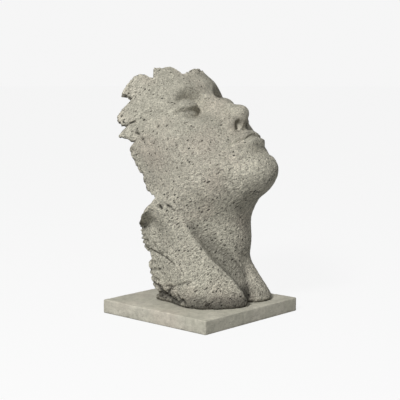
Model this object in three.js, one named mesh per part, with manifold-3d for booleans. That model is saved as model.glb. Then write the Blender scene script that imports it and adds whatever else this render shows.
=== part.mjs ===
// Head with a tilted face, standing on a square plate. The head and neck are one thin-walled casting,
// open at the back, with a torn edge all round. Millimetres, Z up.
// The origin is the middle of the plate's underside. The figure faces -Y.

import * as THREE from "three";
import { ParametricGeometry } from "three/addons/geometries/ParametricGeometry.js";
import { mergeVertices } from "three/addons/utils/BufferGeometryUtils.js";
import Module from "manifold-3d";

// Plate.
const PLATE_SIDE = 200;
const PLATE_THICKNESS = 20;
const PLATE_EASE = 1.5;
const SEAT_GAP = 0.3;

// Head: how much larger than life it is, where the root of the nose lies and how far it is turned.
const HEAD_SCALE = 1.386;
const NOSE_ROOT = [14, -1, 315];
const HEAD_TURN = THREE.MathUtils.degToRad(4.7);
const HEAD_TILT = THREE.MathUtils.degToRad(46.6);
const HEAD_TO_NECK_BLEND = 32;

// Wall of the casting: thin towards the torn edge, thicker behind the face.
const WALL_AT_EDGE = 12;
const WALL_AT_FACE = 21;
const LEAST_WALL = 8;
const EDGE_ROUNDING = 3;

// Columns and rows of the outer and the inner surface.
const OUTER_COLUMNS = 64;
const OUTER_ROWS = 58;
const INNER_COLUMNS = 28;
const INNER_ROWS = 18;

// Passes that even out the points on the face, and the step that measures the slope of the form.
const EVENING_PASSES = 30;
const SLOPE_STEP = 0.3;

// Ends of the inner hollow along the spine, past both ends of the wall.
const HOLLOW_START = -0.16;
const HOLLOW_END = 1.14;
const HOLLOW_OVERRUN = 14;
const HOLLOW_APEX_BACK = 20;

const BODY_TOOLS = await Module();
BODY_TOOLS.setup();

const STONE = { color: 0xaaa496, roughness: 0.93, metalness: 0 };

const { clamp, degToRad, lerp, radToDeg } = THREE.MathUtils;

// 0 up to x = from, 1 past x = to, eased between them; works in both directions.
function ease(from, to, x) {
  const share = clamp((x - from) / (to - from), 0, 1);
  return share * share * (3 - 2 * share);
}

function bell(x, width) {
  return Math.exp(-((x / width) ** 2));
}

// Curve through rows of [at, value], without overshoot between them.
function curveThrough(rows) {
  const last = rows.length - 1;
  const step = rows.slice(1).map((row, i) => row[0] - rows[i][0]);
  const slope = rows.slice(1).map((row, i) => (row[1] - rows[i][1]) / step[i]);
  const tangent = rows.map((row, i) => {
    if (i === 0) return slope[0];
    if (i === last) return slope[last - 1];
    if (slope[i - 1] * slope[i] <= 0) return 0;
    const before = 2 * step[i] + step[i - 1];
    const after = step[i] + 2 * step[i - 1];
    return (before + after) / (before / slope[i - 1] + after / slope[i]);
  });
  return (at) => {
    if (at <= rows[0][0]) return rows[0][1] + tangent[0] * (at - rows[0][0]);
    if (at >= rows[last][0]) return rows[last][1] + tangent[last] * (at - rows[last][0]);
    let i = 0;
    while (rows[i + 1][0] < at) i++;
    const h = step[i];
    const u = (at - rows[i][0]) / h;
    const w = u * u * (3 - 2 * u);
    const rise = h * u * (1 - u) * ((1 - u) * tangent[i] - u * tangent[i + 1]);
    return rows[i][1] * (1 - w) + rows[i + 1][1] * w + rise;
  };
}

// The form is a field: below zero inside the stone, above zero outside, near a distance in between.
function ellipsoid(p, centre, radii) {
  const x = (p[0] - centre[0]) / radii[0];
  const y = (p[1] - centre[1]) / radii[1];
  const z = (p[2] - centre[2]) / radii[2];
  const near = Math.hypot(x, y, z);
  const slope = Math.hypot(x / radii[0], y / radii[1], z / radii[2]) + 1e-9;
  return (near * (near - 1)) / slope;
}

function cone(p, from, to, fromRadius, toRadius) {
  const axis = [to[0] - from[0], to[1] - from[1], to[2] - from[2]];
  const arm = [p[0] - from[0], p[1] - from[1], p[2] - from[2]];
  const dot = arm[0] * axis[0] + arm[1] * axis[1] + arm[2] * axis[2];
  const share = clamp(dot / (axis[0] ** 2 + axis[1] ** 2 + axis[2] ** 2), 0, 1);
  const away = arm.map((value, i) => value - share * axis[i]);
  return Math.hypot(...away) - lerp(fromRadius, toRadius, share);
}

// A row of cones through [centre, radius] stations.
function cord(p, stations) {
  let nearest = Infinity;
  for (let i = 1; i < stations.length; i++) {
    const [from, fromRadius] = stations[i - 1];
    const [to, toRadius] = stations[i];
    nearest = Math.min(nearest, cone(p, from, to, fromRadius, toRadius));
  }
  return nearest;
}

function join(a, b, blend) {
  const share = clamp(0.5 + (0.5 * (b - a)) / blend, 0, 1);
  return lerp(b, a, share) - blend * share * (1 - share);
}

function carve(a, tool, blend) {
  return -join(-a, tool, blend);
}

// Head frame, in life-size millimetres from the root of the nose: x sideways, y back, z up.
const headForward = [
  Math.sin(HEAD_TURN) * Math.cos(HEAD_TILT),
  -Math.cos(HEAD_TURN) * Math.cos(HEAD_TILT),
  Math.sin(HEAD_TILT),
];
const headSide = [Math.cos(HEAD_TURN), Math.sin(HEAD_TURN), 0];
const headUp = new THREE.Vector3(...headSide).cross(new THREE.Vector3(...headForward)).negate().toArray();
if (headUp[2] < 0) headUp.forEach((value, i) => (headUp[i] = -value));

function toHead(p) {
  const arm = p.map((value, i) => (value - NOSE_ROOT[i]) / HEAD_SCALE);
  const along = (axis) => arm[0] * axis[0] + arm[1] * axis[1] + arm[2] * axis[2];
  return [along(headSide), -along(headForward), along(headUp)];
}

function fromHead(x, y, z) {
  const offset = (i) => x * headSide[i] - y * headForward[i] + z * headUp[i];
  return NOSE_ROOT.map((value, i) => value + HEAD_SCALE * offset(i));
}

// Skull, jaw and cheeks without features; q is a point of the head frame with x made positive.
function skull(q) {
  let d = ellipsoid(q, [0, 85, 32], [75, 91, 84]);
  d = join(d, ellipsoid(q, [0, 55, -32], [65, 58, 83]), 16);
  d = join(d, cone(q, [0, 20, -96], [43, 64, -68], 16, 14), 20);
  return join(d, ellipsoid(q, [31, 38, -58], [24, 27, 32]), 20);
}

// Nose: bridge, sides, tip, wing and the strip between the nostrils.
function nose(q) {
  let d = cone(q, [0, 10, 6], [0, -12, -38.5], 8, 8.4);
  d = join(d, cone(q, [0, 18, -4], [0, 4, -42], 10, 14.5), 9);
  d = join(d, ellipsoid(q, [0, -15, -43], [9.8, 10, 9]), 5);
  d = join(d, ellipsoid(q, [12, -2, -46], [6.6, 10, 7.2]), 2.6);
  return join(d, cone(q, [0, -15, -48], [0, -4, -53], 4.8, 5.4), 3);
}

// Brow, [centre, radius].
const BROW = [
  [[8, 8, 11], 6],
  [[24, 8.5, 16], 6],
  [[45, 25, 11], 6],
];

// Closed eye: a ball under two lids that meet on a sagging line.
function closedEye(q) {
  const [x, , z] = q;
  const openShare = clamp(1 - ((x - 31.5) / 18) ** 2, 0, 1);
  const seam = -8 - 5.5 * openShare;
  const crease = -5 + 9 * openShare;
  const ball = ellipsoid(q, [31.5, 20.5, -8.5], [19, 17, 14.5]);
  const lids = ball + 1.2 - 3 * ease(-0.8, 0.8, z - seam) + 3.2 * bell(z - seam + 0.4, 1.5);
  return lids + 1.7 * bell(z - crease, 2.1);
}

// How far the lips stand out from the jaw on either side of the parting line.
function lips(q) {
  const [x, y, z] = q;
  const arch = clamp(1 - (x / 26) ** 2, 0, 1);
  const line = -70.2 + 1.1 * bell(x, 5) - 1.1 * bell(x - 13, 6) + 1.2 * bell(x - 26, 5);
  const top = line + 0.3 + 9.6 * arch ** 0.8 - 1.5 * bell(x, 3) + 0.6 * bell(x - 6, 3);
  const bottom = line - 0.3 - 11.5 * arch ** 0.7;
  const up = (z - line) / (top - line);
  const down = (line - z) / (line - bottom);
  const upper = 4.8 * arch ** 0.6 * (0.6 + 0.4 * ease(0, 0.45, up)) * ease(1.2, 0.65, up);
  const lower = 5.6 * arch ** 0.6 * (0.6 + 0.4 * ease(0, 0.5, down)) * ease(1.3, 0.35, down);
  const parting = 3.4 * bell(z - line, 1.25) * ease(30, 25, x);
  return ((z > line ? upper : lower) - parting) * ease(24, 10, y);
}

// Head with its features: cheeks, rounded front of the jaw, chin, brow, eye, nose and lips.
function head(q) {
  const [x, y, z] = q;
  let d = skull(q);
  d = join(d, ellipsoid(q, [40, 36, -27], [24, 19, 16]), 24);
  d = join(d, ellipsoid(q, [0, 18, -69], [31, 25, 27]), 16);
  d = join(d, ellipsoid(q, [0, 13, -99], [25, 18.5, 14]), 22);
  d = join(d, ellipsoid(q, [0, 7, 13], [16, 12, 9]), 14);
  d = join(d, cord(q, BROW), 14);
  d = carve(d, ellipsoid(q, [30.5, -3, -8.5], [22, 20, 17]), 6);
  d = join(d, nose(q), 5);
  d = carve(d, ellipsoid(q, [6.8, -9.5, -52], [3.2, 5.6, 4.6]), 1.2);
  d = join(d, closedEye(q), 2.5);
  const dipOverLip = 1.2 * bell(x, 2.6) * ease(-64, -60, z) * ease(-52, -55, z) * ease(4, 0, y);
  const dipUnderLip = 3 * bell(z + 87.5, 5) * bell(x, 18) * ease(15, 5, y);
  return d - lips(q) + dipOverLip + dipUnderLip;
}

// Neck: the ridge from behind the jaw to the front of the plate, the dip beside it and the slot
// between the two feet, [centre, radius].
const RIDGE = [
  [[-42, 32, 186], 13],
  [[-54, 15, 157], 21],
  [[-43, -1, 133], 24],
  [[-27, -19, 104], 27],
  [[-12, -37, 76], 28],
  [[1, -51, 55], 27],
  [[4, -62, 37], 23],
  [[-2, -67, 16], 21],
];
const DIP = [
  [[-56, -29.5, 153], 8],
  [[-44, -38.5, 131], 10],
  [[-22.5, -55, 98], 11.5],
  [[-2.5, -69, 75], 12.5],
  [[12.5, -81, 55], 15.5],
  [[19.5, -83, 36], 11],
  [[20, -84, 14], 9],
];
const FOOT_SLOT = [
  [[19, -84, 40], 7],
  [[20, -84, 12], 8],
];

// Throat, nape, flat side, near foot and far foot.
function neckMass(p) {
  let d = cone(p, [22, 4, 0], [18, 5, 110], 57, 64);
  d = join(d, cone(p, [18, 5, 110], [12, 22, 190], 64, 60), 12);
  d = join(d, cone(p, [16, 24, 0], [13, 22, 150], 64, 60), 10);
  d = join(d, ellipsoid(p, [-12, 20, 76], [43, 58, 128]), 14);
  d = join(d, cone(p, [-12, -32, 0], [-24, 8, 130], 52, 36), 14);
  return join(d, cone(p, [38, -24, 60], [49, -48, 12], 34, 38), 8);
}

function headPoint(p) {
  const q = toHead(p);
  q[0] = Math.abs(q[0]);
  return q;
}

function outerForm(p) {
  const withDip = carve(join(neckMass(p), cord(p, RIDGE), 12), cord(p, DIP), 9);
  const neck = carve(withDip, cord(p, FOOT_SLOT), 3);
  return join(head(headPoint(p)) * HEAD_SCALE, neck, HEAD_TO_NECK_BLEND);
}

function innerForm(p) {
  return join(skull(headPoint(p)) * HEAD_SCALE, neckMass(p), HEAD_TO_NECK_BLEND);
}

// Spine of the form, [t, point, tilt in degrees]: t runs from the plate, 0, to the top of the forehead, 1.
const SPINE = [
  [0, [14, 8, PLATE_THICKNESS + SEAT_GAP], 0],
  [0.1, [14, 8, 60], 0],
  [0.2, [13, 9, 100], 4],
  [0.3, [13, 10, 132], 15],
  [0.4, [12.5, 11, 158], 30],
  [0.5, fromHead(0, 75, -60), 44],
  [0.62, fromHead(0, 76, -32), 46.6],
  [0.74, fromHead(0, 74, -4), 46.6],
  [0.86, fromHead(0, 70, 16), 54],
  [1, fromHead(0, 66, 30), 70],
  [1.15, fromHead(0, 66, 38), 88],
];
const spinePoint = [0, 1, 2].map((axis) => curveThrough(SPINE.map(([t, point]) => [t, point[axis]])));
const spineTilt = curveThrough(SPINE.map(([t, , tilt]) => [t, degToRad(tilt)]));

// Start and direction of the ray at an angle round the spine, 0 forward and negative to the near side.
function ray(angle, t) {
  const start = spinePoint.map((curve) => curve(t));
  const tilt = spineTilt(t);
  const turn = HEAD_TURN * ease(0.2, 0.5, t);
  const forward = Math.cos(angle);
  const side = Math.sin(angle);
  const direction = [
    forward * Math.sin(turn) * Math.cos(tilt) + side * Math.cos(turn),
    -forward * Math.cos(turn) * Math.cos(tilt) + side * Math.sin(turn),
    forward * Math.sin(tilt),
  ];
  return { start, direction };
}

// Distance along a ray to the skin of a form: steps out until it has left the stone, then halves.
const FIRST_STEP = 20;
const LEAST_STEP = 0.7;
const STEP_CAUTION = 0.92;
const MOST_STEPS = 60;
const HALVINGS = 12;

function reach({ start, direction }, form) {
  const at = (r) => form(start.map((value, i) => value + direction[i] * r));
  let low = 0;
  let high = FIRST_STEP;
  for (let i = 0; i < MOST_STEPS; i++) {
    const depth = at(high);
    if (depth > 0) break;
    low = high;
    high += Math.max(-depth * STEP_CAUTION, LEAST_STEP);
  }
  for (let i = 0; i < HALVINGS; i++) {
    const middle = (low + high) / 2;
    if (at(middle) < 0) low = middle;
    else high = middle;
  }
  return (low + high) / 2;
}

// Torn edge of the near side, [height share, angle, t]: lobes and the notches between them.
const NEAR_EDGE = [
  [0, 118, 0],
  [0.012, 117, 0.012],
  [0.024, 111.5, 0.026],
  [0.036, 112.5, 0.038],
  [0.055, 116, 0.056],
  [0.075, 119.5, 0.075],
  [0.11, 124, 0.112],
  [0.135, 124.5, 0.136],
  [0.153, 122, 0.152],
  [0.17, 122.5, 0.168],
  [0.187, 125, 0.184],
  [0.21, 130.5, 0.204],
  [0.24, 133, 0.236],
  [0.29, 133.5, 0.284],
  [0.37, 134, 0.37],
  [0.42, 130, 0.425],
  [0.455, 127, 0.456],
  [0.48, 122, 0.484],
  [0.495, 117.5, 0.5],
  [0.507, 113.5, 0.507],
  [0.517, 107.5, 0.512],
  [0.53, 100.5, 0.517],
  [0.548, 103, 0.53],
  [0.575, 107.5, 0.564],
  [0.6, 108.5, 0.592],
  [0.618, 104.5, 0.616],
  [0.637, 99, 0.636],
  [0.667, 96.5, 0.668],
  [0.688, 94.5, 0.688],
  [0.708, 91, 0.708],
  [0.74, 85, 0.742],
  [0.758, 78.5, 0.745],
  [0.8, 86.5, 0.83],
  [0.832, 75, 0.826],
  [0.885, 82, 0.915],
  [0.905, 80, 0.935],
  [0.94, 60.5, 0.92],
  [1, 65, 1.035],
];
const nearAngle = curveThrough(NEAR_EDGE.map(([share, angle]) => [share, angle]));
const nearHeight = curveThrough(NEAR_EDGE.map(([share, , t]) => [share, t]));

// Torn edge over the forehead, [angle, t].
const topHeight = curveThrough([
  [-66, 1.035],
  [-61.5, 1.043],
  [-57, 1.043],
  [-49, 1.032],
  [-43, 1.006],
  [-40.7, 0.975],
  [-39.5, 0.942],
  [-37, 0.932],
  [-33.5, 0.957],
  [-30, 0.967],
  [-27, 0.958],
  [-22, 0.94],
  [-17, 0.922],
  [-14.8, 0.895],
  [-13.8, 0.876],
  [-10, 0.868],
  [-6, 0.87],
  [5, 0.89],
  [13, 0.892],
  [21, 0.902],
  [30, 0.896],
  [47, 0.955],
  [60, 1.01],
]);

// Angle of the edge before it is torn.
const edgeAngle = curveThrough([
  [0, 130],
  [0.42, 130],
  [0.52, 115],
  [0.65, 101],
  [0.75, 86],
  [0.88, 78],
  [1, 64],
]);

// How far the torn lip swells past the drawn edge over the forehead, in t.
const TORN_LIP = 0.01;

// A crooked wave of about unit height for the torn edge.
const RIPPLE_SUM = 1.6;

function ripple(x, phase) {
  const waves = [
    [1, 1, 1],
    [0.6, 2.3, 1.7],
    [0.45, 5.1, 2.9],
  ];
  const heights = waves.map(([size, rate, shift]) => size * Math.sin(rate * x + shift * phase));
  return heights.reduce((sum, height) => sum + height, 0) / RIPPLE_SUM;
}

// The far side tears in the same way, with lobes of its own.
function farAngle(share) {
  const size = lerp(3.5, 7.5, ease(0.6, 0.72, share));
  return edgeAngle(share) + 2 + size * ripple(share * 34, 2);
}

// Ray angle and t for a point of the torn sheet: side -1 to 1 across it, share 0 to 1 up it.
function tornPlace(side, share) {
  const edge = edgeAngle(share);
  const toSide = ease(0.7, 1, Math.abs(side));
  const toTop = ease(0.84, 1, share);
  let angle = side * edge;
  let t = share;
  if (side < 0) {
    const crumbs = (1.2 + 0.9 * ease(0.34, 0.25, share)) * ripple(share * 95, 2);
    angle -= toSide * (nearAngle(share) - edge + crumbs);
    t += toSide * (nearHeight(share) - share);
  } else {
    angle += toSide * (farAngle(share) - edge);
    t += toSide * 0.008 * ripple(share * 60, 5) * ease(0, 0.06, share);
  }
  const top = topHeight(clamp(side * edge, -66, 60)) + TORN_LIP + 0.006 * ripple(side * 40, 1);
  t += toTop * (top - 1) * (1 - toSide);
  return { angle: degToRad(angle), t };
}

// How far the wing beside the neck turns outwards on the near side, [t, millimetres].
const nearWing = curveThrough([
  [0, 1],
  [0.085, 5],
  [0.16, 3],
  [0.2, 9],
  [0.27, 14],
  [0.36, 16],
  [0.42, 21],
  [0.47, 27],
  [0.5, 24],
  [0.525, 8],
  [0.55, 0],
  [1.2, 0],
]);

// How far the wall turns outwards towards the torn edge.
function flare(angle, t) {
  const degrees = radToDeg(angle);
  const farWing = 16 * Math.exp(-(((t - 0.27) / 0.11) ** 4)) * ease(0.57, 0.5, t);
  const neck = (degrees < 0 ? nearWing(t) : farWing) * ease(92, 132, Math.abs(degrees));
  const headEdge = 7 * ease(58, 84, Math.abs(degrees)) * ease(0.66, 0.8, t);
  return neck + headEdge;
}

function pointOn({ start, direction }, distance) {
  return start.map((value, i) => value + direction[i] * distance);
}

// Points of a sheet, row by row.
function sheetOf(columns, rows, place) {
  const steps = (count) => Array.from({ length: count + 1 }, (_, i) => i / count);
  return steps(rows).map((row) => steps(columns).map((column) => place(column, row)));
}

// A closed body from a sheet: each row also runs back along a line of apexes, and an extra row at
// each end closes on the apex.
function fanBody(sheet) {
  const columns = sheet[0].length - 1;
  const rows = sheet.length - 1;
  const wide = columns + 2;
  const high = rows + 2;
  const corner = (u, v, target) => {
    const column = clamp(Math.round(u * wide) - 1, 0, columns);
    const row = clamp(Math.round(v * high) - 1, 0, rows);
    const { apex, point } = sheet[row][column];
    const closing = u === 0 || u === 1 || v === 0 || v === 1;
    target.set(...(closing ? apex : point));
  };
  return new ParametricGeometry(corner, wide, high);
}

function outerPlace(column, row) {
  const across = 2 * column - 1;
  const side = 0.6 * across + 0.4 * across ** 3;
  const share = row * (1.25 - 0.25 * row);
  const { angle, t } = tornPlace(side, share);
  const beam = ray(angle, t);
  const nearRim = Math.max(ease(0.965, 1, Math.abs(across)), ease(0.975, 1, row));
  const turnedOut = flare(angle, t) - EDGE_ROUNDING * nearRim;
  const free = ease(0.82, 0.62, Math.abs(side)) * ease(0.1, 0.3, share) * ease(0.9, 0.8, share);
  const apex = ray(0, share).start;
  return { apex, point: pointOn(beam, reach(beam, outerForm)), direction: beam.direction, turnedOut, free };
}

// A point of the skin moved a share of the way to another, but kept on the skin.
function slide(point, target, share) {
  const depth = outerForm(point);
  const slope = point.map((_, axis) => {
    const beside = point.map((value, i) => (i === axis ? value + SLOPE_STEP : value));
    return (outerForm(beside) - depth) / SLOPE_STEP;
  });
  const steep = slope.reduce((sum, value) => sum + value * value, 1e-6);
  const pull = target.map((value, i) => (value - point[i]) * share);
  const away = pull.reduce((sum, value, i) => sum + value * slope[i], 0) / steep;
  const moved = point.map((value, i) => value + pull[i] - slope[i] * away);
  const rest = (0.9 * outerForm(moved)) / steep;
  return moved.map((value, i) => value - slope[i] * rest);
}

// Slides the free points between their neighbours, so that the steep parts of the face get facets too.
function evenOut(sheet) {
  for (let pass = 0; pass < EVENING_PASSES; pass++) {
    const points = sheet.map((row) => row.map(({ point }) => point));
    sheet.slice(1, -1).forEach((row, above) => {
      row.slice(1, -1).forEach((place, left) => {
        if (place.free === 0) return;
        const [i, j] = [above + 1, left + 1];
        const around = [points[i - 1][j], points[i + 1][j], points[i][j - 1], points[i][j + 1]];
        const middle = [0, 1, 2].map((axis) => around.reduce((sum, p) => sum + p[axis] / 4, 0));
        place.point = slide(place.point, middle, 0.8 * place.free);
      });
    });
  }
}

// The hollow reaches past the torn edge and its apexes lie behind the spine, so it cuts the wall free.
function innerPlace(column, row) {
  const t = lerp(HOLLOW_START, HOLLOW_END, row);
  const angle = (2 * column - 1) * degToRad(edgeAngle(clamp(t, 0, 1)) + HOLLOW_OVERRUN);
  const beam = ray(angle, t);
  const toEdge = ease(45, 85, radToDeg(Math.abs(angle)));
  const wall = lerp(lerp(WALL_AT_EDGE, WALL_AT_FACE, ease(0.4, 0.5, t)), WALL_AT_EDGE, toEdge);
  const deepest = reach(beam, outerForm) - LEAST_WALL;
  const distance = Math.min(reach(beam, (p) => innerForm(p) + wall), deepest);
  return { apex: pointOn(ray(0, t), -HOLLOW_APEX_BACK), point: pointOn(beam, distance + flare(angle, t)) };
}

// three.js geometry as a body that can be joined and cut, and back.
function toBody(geometry) {
  const bare = new THREE.BufferGeometry();
  bare.setAttribute("position", geometry.getAttribute("position"));
  bare.setIndex(geometry.getIndex());
  const merged = mergeVertices(bare, 1e-3);
  const corners = [];
  const index = merged.getIndex().array;
  for (let i = 0; i < index.length; i += 3) {
    const [a, b, c] = index.slice(i, i + 3);
    if (a !== b && b !== c && c !== a) corners.push(a, b, c);
  }
  const mesh = new BODY_TOOLS.Mesh({
    numProp: 3,
    vertProperties: merged.getAttribute("position").array,
    triVerts: Uint32Array.from(corners),
  });
  return new BODY_TOOLS.Manifold(mesh);
}

function toMesh(body, name) {
  const { numProp, vertProperties, triVerts } = body.getMesh();
  const positions = new THREE.InterleavedBuffer(vertProperties, numProp);
  const geometry = new THREE.BufferGeometry();
  geometry.setAttribute("position", new THREE.InterleavedBufferAttribute(positions, 3, 0));
  geometry.setIndex(new THREE.BufferAttribute(triVerts, 1));
  const mesh = new THREE.Mesh(geometry.toNonIndexed(), new THREE.MeshStandardMaterial(STONE));
  mesh.geometry.computeVertexNormals();
  mesh.name = name;
  return mesh;
}

function makeSculpture() {
  const skin = sheetOf(OUTER_COLUMNS, OUTER_ROWS, outerPlace);
  evenOut(skin);
  for (const place of skin.flat()) {
    place.point = place.point.map((value, i) => value + place.direction[i] * place.turnedOut);
  }
  const hollow = sheetOf(INNER_COLUMNS, INNER_ROWS, innerPlace);
  return toMesh(toBody(fanBody(skin)).subtract(toBody(fanBody(hollow))), "face_sculpture");
}

function makePlate() {
  const half = PLATE_SIDE / 2 - PLATE_EASE;
  const outline = new THREE.Shape();
  outline.moveTo(-half, -half);
  outline.lineTo(half, -half);
  outline.lineTo(half, half);
  outline.lineTo(-half, half);
  outline.closePath();
  const geometry = new THREE.ExtrudeGeometry(outline, {
    depth: PLATE_THICKNESS - 2 * PLATE_EASE,
    bevelEnabled: true,
    bevelThickness: PLATE_EASE,
    bevelSize: PLATE_EASE,
    bevelSegments: 2,
  });
  geometry.translate(0, 0, PLATE_EASE);
  const mesh = new THREE.Mesh(geometry, new THREE.MeshStandardMaterial(STONE));
  mesh.name = "base_plate";
  return mesh;
}

const sculpture = new THREE.Group();
sculpture.add(makeSculpture(), makePlate());

export default sculpture;
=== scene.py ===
# Hollow head with a tilted face, cast in stone and standing on a square stone plate.
# Metres, Z up. The origin is the middle of the plate's underside, and the figure faces -Y.

import math

import bmesh
import bpy
import numpy as np
from mathutils import Matrix, Vector, noise


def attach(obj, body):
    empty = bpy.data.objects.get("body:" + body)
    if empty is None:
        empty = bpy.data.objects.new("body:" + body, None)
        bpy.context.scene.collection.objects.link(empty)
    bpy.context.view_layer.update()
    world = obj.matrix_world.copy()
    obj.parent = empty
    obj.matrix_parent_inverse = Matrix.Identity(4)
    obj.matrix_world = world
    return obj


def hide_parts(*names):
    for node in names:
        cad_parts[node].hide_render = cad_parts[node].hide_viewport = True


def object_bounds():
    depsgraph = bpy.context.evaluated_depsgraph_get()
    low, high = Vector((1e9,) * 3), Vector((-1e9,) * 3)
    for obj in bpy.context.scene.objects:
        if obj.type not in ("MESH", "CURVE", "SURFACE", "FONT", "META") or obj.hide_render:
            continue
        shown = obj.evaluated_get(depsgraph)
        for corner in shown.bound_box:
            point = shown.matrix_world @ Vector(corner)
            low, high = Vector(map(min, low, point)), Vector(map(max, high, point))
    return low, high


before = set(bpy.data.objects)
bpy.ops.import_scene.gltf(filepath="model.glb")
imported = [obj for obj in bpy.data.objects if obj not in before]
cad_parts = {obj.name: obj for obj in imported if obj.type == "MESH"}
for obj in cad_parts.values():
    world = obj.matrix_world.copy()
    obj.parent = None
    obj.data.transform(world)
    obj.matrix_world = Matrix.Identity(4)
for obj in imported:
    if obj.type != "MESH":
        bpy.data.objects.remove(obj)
cad_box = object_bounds()
scene = bpy.context.scene


# Camera and studio. A long lens looks slightly down on the near front corner of the plate. The
# floor and the air are the same pale white, a wide soft lamp stands high on the left, and
# nothing else is in sight.

CAMERA_TURN = math.radians(-47.8)
CAMERA_RISE = math.radians(7.31)
CAMERA_DISTANCE = 1.6
LENS = 99.9
SENSOR = 36
AIM = Vector((-0.00034, 0.00037, 0.1644))
LAMP_PLACE = Vector((-1.84, -0.62, 1.6))
LAMP_TARGET = Vector((0, 0, 0.2))
LAMP_SIZE = 0.5
LAMP_POWER = 55
AMBIENT = 0.33
AIR = (0.92, 0.92, 0.92, 1.0)
AIR_GLOW = 1.0
AIR_RADIUS = 13
FLOOR_REACH = 14
FLOOR_PAINT = 0.06
FLOOR_GLOW = 0.968

camera_back = Vector((
    math.sin(CAMERA_TURN) * math.cos(CAMERA_RISE),
    -math.cos(CAMERA_TURN) * math.cos(CAMERA_RISE),
    math.sin(CAMERA_RISE),
))
camera_data = bpy.data.cameras.new("camera")
camera_data.lens = LENS
camera_data.sensor_width = SENSOR
camera_data.clip_start = 0.05
camera_data.clip_end = 40
camera = bpy.data.objects.new("camera", camera_data)
camera.location = AIM + camera_back * CAMERA_DISTANCE
camera.rotation_euler = camera_back.to_track_quat("Z", "Y").to_euler()
scene.collection.objects.link(camera)
scene.camera = camera
scene.view_settings.view_transform = "Standard"

world = bpy.data.worlds.new("air")
world.use_nodes = True
air_light = world.node_tree.nodes["Background"]
air_light.inputs["Color"].default_value = (1.0, 1.0, 1.0, 1.0)
air_light.inputs["Strength"].default_value = AMBIENT
scene.world = world

lamp_data = bpy.data.lights.new("key_lamp", "AREA")
lamp_data.shape = "DISK"
lamp_data.size = LAMP_SIZE
lamp_data.energy = LAMP_POWER
lamp = bpy.data.objects.new("key_lamp", lamp_data)
lamp.location = LAMP_PLACE
lamp.rotation_euler = (LAMP_PLACE - LAMP_TARGET).to_track_quat("Z", "Y").to_euler()
scene.collection.objects.link(lamp)


def add_backdrop(name, bm, paleness, glow):
    mesh = bpy.data.meshes.new(name)
    bm.to_mesh(mesh)
    bm.free()
    backdrop = bpy.data.objects.new(name, mesh)
    scene.collection.objects.link(backdrop)
    backdrop.visible_diffuse = False
    backdrop.visible_glossy = False
    backdrop.visible_shadow = False
    paint = bpy.data.materials.new(name)
    paint.use_nodes = True
    shader = paint.node_tree.nodes["Principled BSDF"]
    shader.inputs["Base Color"].default_value = (paleness, paleness, paleness, 1.0)
    shader.inputs["Roughness"].default_value = 1.0
    shader.inputs["Specular IOR Level"].default_value = 0.0
    shader.inputs["Emission Color"].default_value = AIR
    shader.inputs["Emission Strength"].default_value = glow
    mesh.materials.append(paint)


bm = bmesh.new()
bmesh.ops.create_grid(bm, x_segments=4, y_segments=4, size=FLOOR_REACH)
add_backdrop("floor", bm, FLOOR_PAINT, FLOOR_GLOW)
bm = bmesh.new()
bmesh.ops.create_uvsphere(bm, u_segments=48, v_segments=24, radius=AIR_RADIUS)
bmesh.ops.reverse_faces(bm, faces=bm.faces)
add_backdrop("air_dome", bm, 0.0, AIR_GLOW)


# The casting: face, sides of the head, neck and feet in one hollow piece of cast stone, 12 mm
# thick at its torn edge and open at the back. The edge was torn by hand before the mix set, and
# the foot stands on the plate in a thin bed of mortar. Its sizes are in millimetres.

MM = 0.001
FOOT_LEVEL = 20.3
HEAD_SCALE = 1.386
NOSE_ROOT = np.array([14.0, -1.0, 315.0])
HEAD_TURN = math.radians(4.7)
HEAD_TILT = math.radians(46.6)
NECK_BLEND = 32.0
WALL_AT_EDGE = 12.0
WALL_AT_FACE = 20.0
LEAST_WALL = 8.0

OUTER_COLUMNS = 270
OUTER_ROWS = 288
THIN_OUT = 3
FIRST_REACH = 20.0


def ease(low, high, x):
    share = np.clip((x - low) / (high - low), 0, 1)
    return share * share * (3 - 2 * share)


def bell(x, width):
    return np.exp(-((x / width) ** 2))


def curve_through(rows):
    at, value = np.array(rows, float).T
    step = np.diff(at)
    slope = np.diff(value) / step
    tangent = np.zeros_like(value)
    tangent[0] = slope[0]
    tangent[-1] = slope[-1]
    same_way = slope[:-1] * slope[1:] > 0
    before = 2 * step[1:] + step[:-1]
    after = step[1:] + 2 * step[:-1]
    safe = np.where(same_way, slope[:-1], 1), np.where(same_way, slope[1:], 1)
    tangent[1:-1] = np.where(same_way, (before + after) / (before / safe[0] + after / safe[1]), 0)

    def curve(x):
        x = np.asarray(x, float)
        i = np.clip(np.searchsorted(at, x, side="right") - 1, 0, len(step) - 1)
        h = step[i]
        u = np.clip((x - at[i]) / h, 0, 1)
        w = u * u * (3 - 2 * u)
        rise = h * u * (1 - u) * ((1 - u) * tangent[i] - u * tangent[i + 1])
        inside = value[i] * (1 - w) + value[i + 1] * w + rise
        below = np.where(x < at[0], (x - at[0]) * tangent[0], 0)
        above = np.where(x > at[-1], (x - at[-1]) * tangent[-1], 0)
        return inside + (below + above)

    return curve


def ellipsoid(p, centre, radii):
    x, y, z = ((p[i] - centre[i]) / radii[i] for i in range(3))
    near = np.sqrt(x * x + y * y + z * z)
    slope = np.sqrt((x / radii[0]) ** 2 + (y / radii[1]) ** 2 + (z / radii[2]) ** 2) + 1e-9
    return near * (near - 1) / slope


def cone(p, start, end, start_radius, end_radius):
    axis = np.subtract(end, start).astype(float)
    x, y, z = (p[i] - start[i] for i in range(3))
    share = np.clip((x * axis[0] + y * axis[1] + z * axis[2]) / (axis @ axis), 0, 1)
    x, y, z = x - share * axis[0], y - share * axis[1], z - share * axis[2]
    away = np.sqrt(x ** 2 + y ** 2 + z ** 2)
    return away - (start_radius + (end_radius - start_radius) * share)


def cord_of_clay(p, stations):
    parts = [cone(p, a[0], b[0], a[1], b[1]) for a, b in zip(stations, stations[1:])]
    return np.minimum.reduce(parts)


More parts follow.
